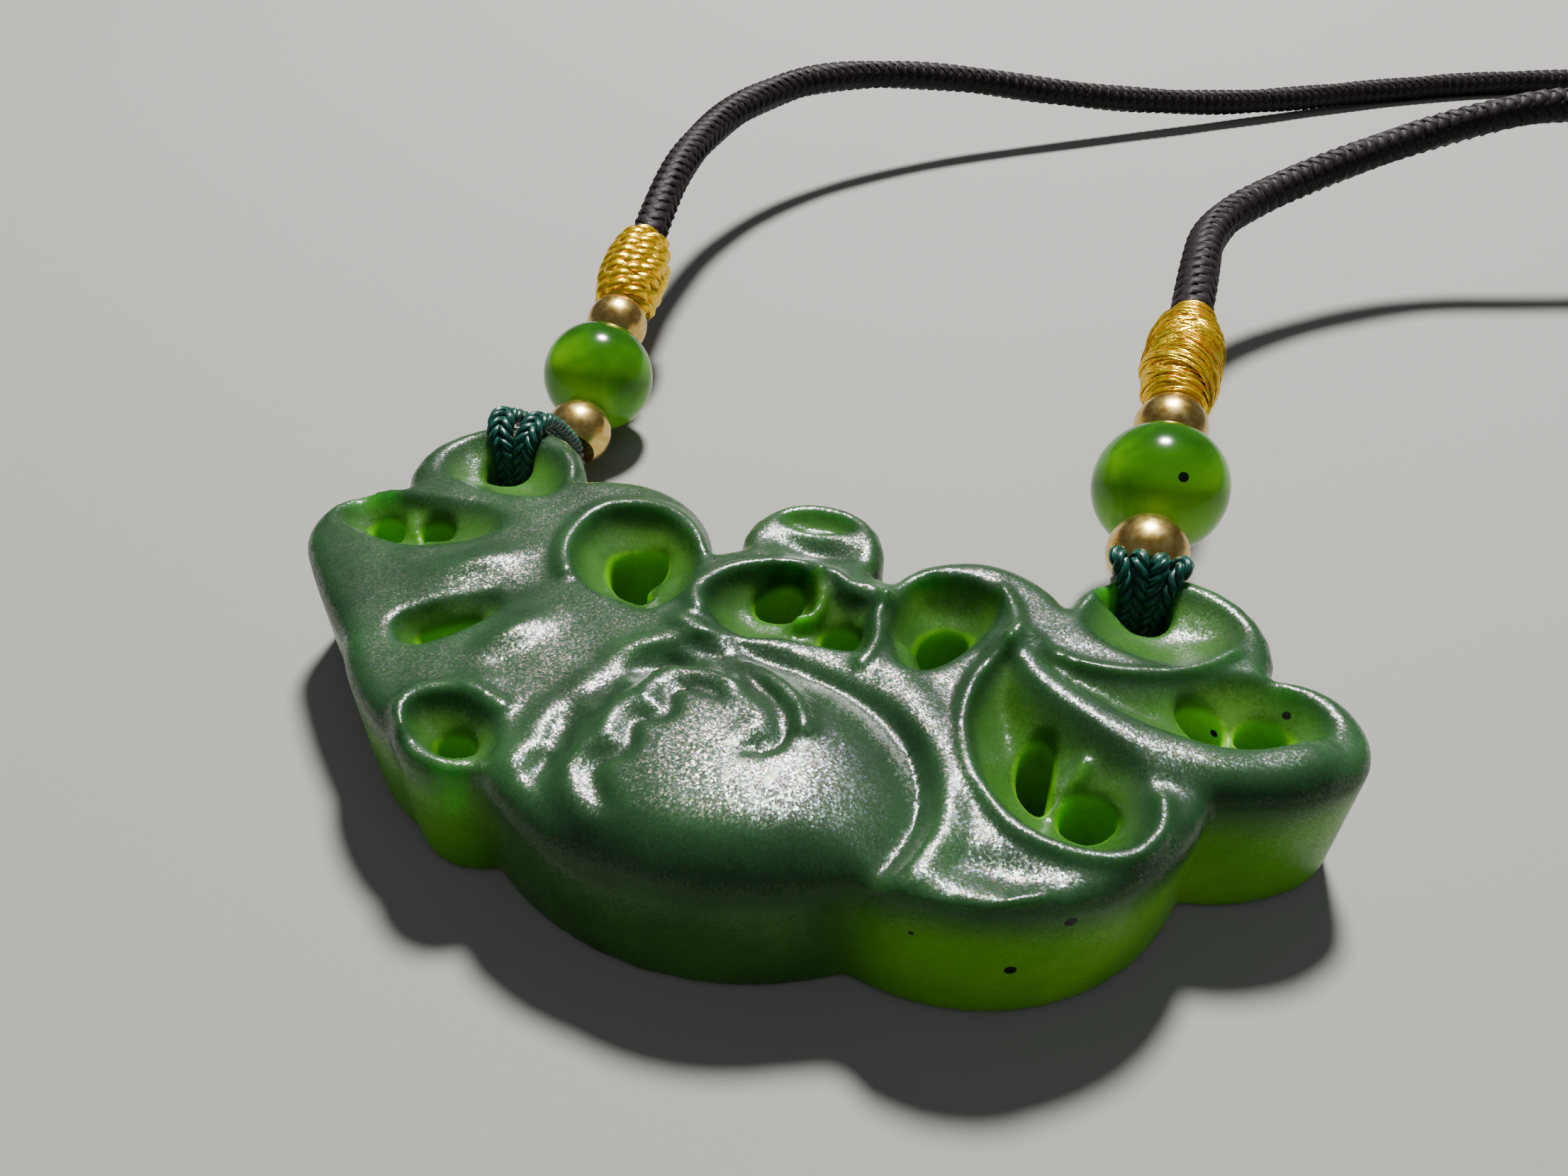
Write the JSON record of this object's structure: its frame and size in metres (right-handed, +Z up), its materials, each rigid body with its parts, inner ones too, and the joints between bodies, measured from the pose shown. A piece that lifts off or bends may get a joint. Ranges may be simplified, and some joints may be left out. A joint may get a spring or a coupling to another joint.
{
  "type": "jade phoenix pendant necklace",
  "caption": "Carved green jade phoenix pendant, pierced and lobed, lying flat, tied by thread loops to gold and jade beads, wound knots and a braided neck cord.",
  "frame": {"origin": "on the flat base of the carving, under the middle of its length and depth", "axes": "+X along the carving to its right end, +Y towards the tie holes and the cord, +Z up out of the carved face"},
  "size_m": [0.1827, 0.1723, 0.0171],
  "materials": {
    "carved_jade": "deep green nephrite, satin polish",
    "bead_jade": "bright green jade, high polish",
    "gold": "gold plate, polished",
    "tie_thread": "dark teal braided thread",
    "gold_thread": "golden silky thread, wound",
    "braid": "dark brown-black fine braid"
  },
  "bodies": {
    "root": {"jade_phoenix": "carved_jade", "left_tie_thread": "tie_thread", "right_tie_thread": "tie_thread", "left_gold_bead_lower": "gold", "left_gold_bead_upper": "gold", "right_gold_bead_lower": "gold", "right_gold_bead_upper": "gold", "left_jade_bead": "bead_jade", "right_jade_bead": "bead_jade", "left_wrapped_knot": "gold_thread", "right_wrapped_knot": "gold_thread", "neck_cord": "braid"}
  },
  "joints": []
}
